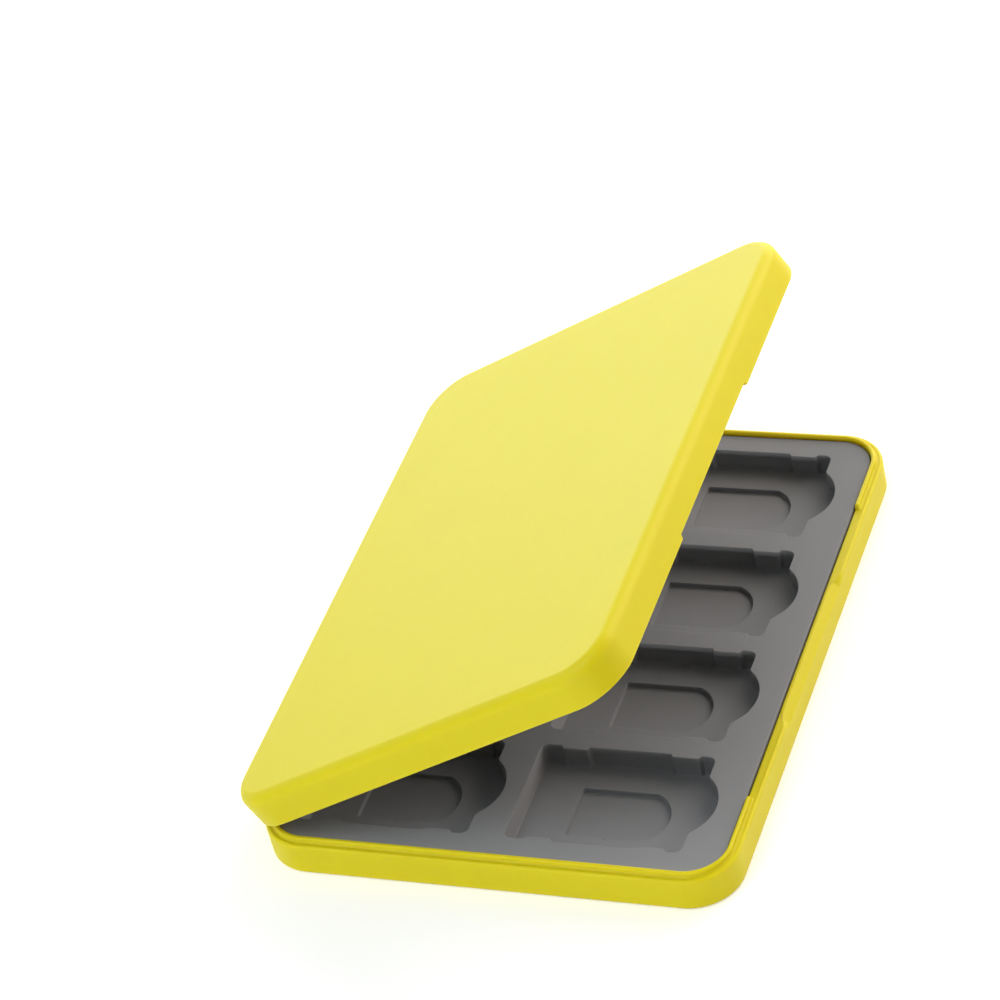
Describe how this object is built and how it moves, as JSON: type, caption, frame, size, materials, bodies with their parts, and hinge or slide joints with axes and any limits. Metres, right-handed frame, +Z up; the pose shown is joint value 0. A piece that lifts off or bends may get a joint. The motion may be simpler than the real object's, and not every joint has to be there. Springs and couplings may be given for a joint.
{
  "type": "game card case",
  "caption": "Slim rounded hard-plastic case, hinged along its long side, with a tray of shaped card pockets in each half; the lid stands partly open.",
  "frame": {"origin": "the middle of the base's flat underside", "axes": "+Z up from the underside, +Y along the long side and the hinge, +X from the hinge towards the opening side"},
  "size_m": [0.089, 0.115, 0.054],
  "materials": {
    "yellow_abs": "satin moulded, fine even grain",
    "grey_rubber": "matte moulded",
    "steel": "drawn wire, bright",
    "nickel": "nickel plated"
  },
  "bodies": {
    "base": {"base_shell": "yellow_abs", "base_tray": "grey_rubber", "base_magnet_front": "nickel", "base_magnet_rear": "nickel"},
    "lid": {"lid_shell": "yellow_abs", "lid_tray": "grey_rubber", "lid_magnet_front": "nickel", "lid_magnet_rear": "nickel", "hinge_pin_front": "steel", "hinge_pin_rear": "steel"}
  },
  "joints": [
    {"name": "lid_hinge", "type": "hinge", "parent": "base", "child": "lid", "pos_m": [-0.04465, 0, 0.0067], "axis": [0, -1, 0], "range_deg": [-28.8, 151.2]}
  ]
}
